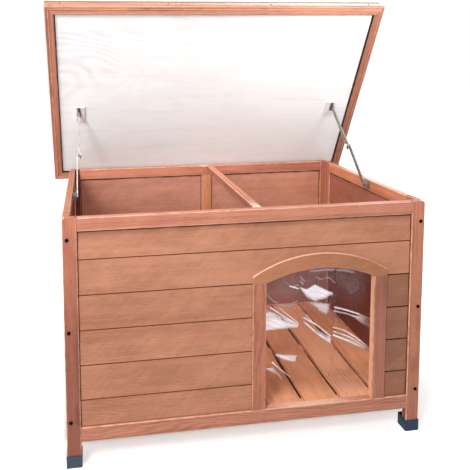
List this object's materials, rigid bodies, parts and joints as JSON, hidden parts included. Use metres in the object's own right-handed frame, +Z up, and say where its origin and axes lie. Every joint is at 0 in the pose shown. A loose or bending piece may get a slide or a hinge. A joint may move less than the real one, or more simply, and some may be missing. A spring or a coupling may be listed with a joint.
{
  "type": "dog kennel",
  "caption": "Wooden dog kennel with a rear-hinged lifting lid on folding stays, an arched doorway with a clear strip curtain, a slatted floor and plastic foot caps.",
  "frame": {"origin": "centre of the bounding box in X and Y with the lid open, on the ground plane under the foot caps", "axes": "+X to the right seen from the front, +Y from the doorway towards the back wall, +Z up"},
  "size_m": [1.148, 0.6642, 1.2982],
  "materials": {
    "frame_timber": "stained, satin",
    "board_timber": "stained, satin",
    "door_timber": "stained, smooth",
    "floor_timber": "planed, matt",
    "washed_ply": "whitewashed, matt",
    "roof_felt": "mineral felt, rough",
    "zinc_steel": "zinc plated",
    "foot_plastic": "satin",
    "clear_vinyl": "clear, glossy"
  },
  "bodies": {
    "kennel": {"back_boards_left": "board_timber", "back_boards_right": "board_timber", "back_bottom_rail": "frame_timber", "back_centre_stile": "frame_timber", "back_left_stile": "frame_timber", "back_right_stile": "frame_timber", "back_top_rail": "frame_timber", "cross_beam": "frame_timber", "curtain_clamp": "frame_timber", "door_arch": "door_timber", "door_post_left": "door_timber", "door_post_right": "door_timber", "floor_grid": "floor_timber", "foot_cap_back_left": "foot_plastic", "foot_cap_back_right": "foot_plastic", "foot_cap_front_left": "foot_plastic", "foot_cap_front_right": "foot_plastic", "front_board_left_1": "board_timber", "front_board_left_2": "board_timber", "front_board_left_3": "board_timber", "front_board_left_4": "board_timber", "front_board_over_door": "board_timber", "front_board_top": "board_timber", "front_boards_right": "board_timber", "front_bottom_rail": "frame_timber", "front_left_stile": "frame_timber", "front_right_stile": "frame_timber", "front_top_rail": "frame_timber", "hinge_left_rail_leaf": "zinc_steel", "hinge_right_rail_leaf": "zinc_steel", "left_back_stile": "frame_timber", "left_boards": "board_timber", "left_bottom_rail": "frame_timber", "left_front_stile": "frame_timber", "left_top_rail": "frame_timber", "right_back_stile": "frame_timber", "right_boards": "board_timber", "right_bottom_rail": "frame_timber", "right_front_stile": "frame_timber", "right_top_rail": "frame_timber", "stay_left_rail_bracket": "zinc_steel", "stay_right_rail_bracket": "zinc_steel"},
    "lid": {"lid_deck": "washed_ply", "lid_felt": "roof_felt", "lid_lining": "washed_ply", "lid_moulding_back": "frame_timber", "lid_moulding_front": "frame_timber", "lid_moulding_left": "frame_timber", "lid_moulding_right": "frame_timber", "hinge_left_lid_leaf": "zinc_steel", "hinge_right_lid_leaf": "zinc_steel", "stay_left_lid_bracket": "zinc_steel", "stay_right_lid_bracket": "zinc_steel"},
    "stay_left_lower": {"stay_left_lower_arm": "zinc_steel"},
    "stay_left_upper": {"stay_left_upper_arm": "zinc_steel"},
    "stay_right_lower": {"stay_right_lower_arm": "zinc_steel"},
    "stay_right_upper": {"stay_right_upper_arm": "zinc_steel"},
    "strip_left": {"curtain_strip_left": "clear_vinyl"},
    "strip_middle": {"curtain_strip_middle": "clear_vinyl"},
    "strip_right": {"curtain_strip_right": "clear_vinyl"}
  },
  "joints": [
    {"name": "lid_hinge", "type": "hinge", "parent": "kennel", "child": "lid", "pos_m": [0, 0.27403, 0.6815], "axis": [1, 0, 0], "range_deg": [0, 64]},
    {"name": "stay_left_rail_pivot", "type": "hinge", "parent": "kennel", "child": "stay_left_lower", "pos_m": [-0.47975, -0.06497, 0.681], "axis": [1, 0, 0], "range_deg": [-144.5, 0]},
    {"name": "stay_left_lid_pivot", "type": "hinge", "parent": "lid", "child": "stay_left_upper", "pos_m": [-0.47395, 0.1554, 0.91903], "axis": [1, 0, 0], "range_deg": [-51, 0]},
    {"name": "stay_right_rail_pivot", "type": "hinge", "parent": "kennel", "child": "stay_right_lower", "pos_m": [0.47975, -0.06497, 0.681], "axis": [1, 0, 0], "range_deg": [-144.5, 0]},
    {"name": "stay_right_lid_pivot", "type": "hinge", "parent": "lid", "child": "stay_right_upper", "pos_m": [0.47395, 0.1554, 0.91903], "axis": [1, 0, 0], "range_deg": [-51, 0]},
    {"name": "strip_left_swing", "type": "hinge", "parent": "kennel", "child": "strip_left", "pos_m": [0.09067, -0.30892, 0.5337], "axis": [1, 0, 0], "range_deg": [0, 60]},
    {"name": "strip_middle_swing", "type": "hinge", "parent": "kennel", "child": "strip_middle", "pos_m": [0.2045, -0.30892, 0.5337], "axis": [1, 0, 0], "range_deg": [0, 60]},
    {"name": "strip_right_swing", "type": "hinge", "parent": "kennel", "child": "strip_right", "pos_m": [0.31833, -0.30892, 0.5337], "axis": [1, 0, 0], "range_deg": [0, 60]}
  ],
  "couplings": [
    {"joint": "stay_left_rail_pivot", "follows": "lid_hinge", "ratio": -2.2537},
    {"joint": "stay_left_lid_pivot", "follows": "lid_hinge", "ratio": -0.789},
    {"joint": "stay_right_rail_pivot", "follows": "lid_hinge", "ratio": -2.2537},
    {"joint": "stay_right_lid_pivot", "follows": "lid_hinge", "ratio": -0.789}
  ]
}
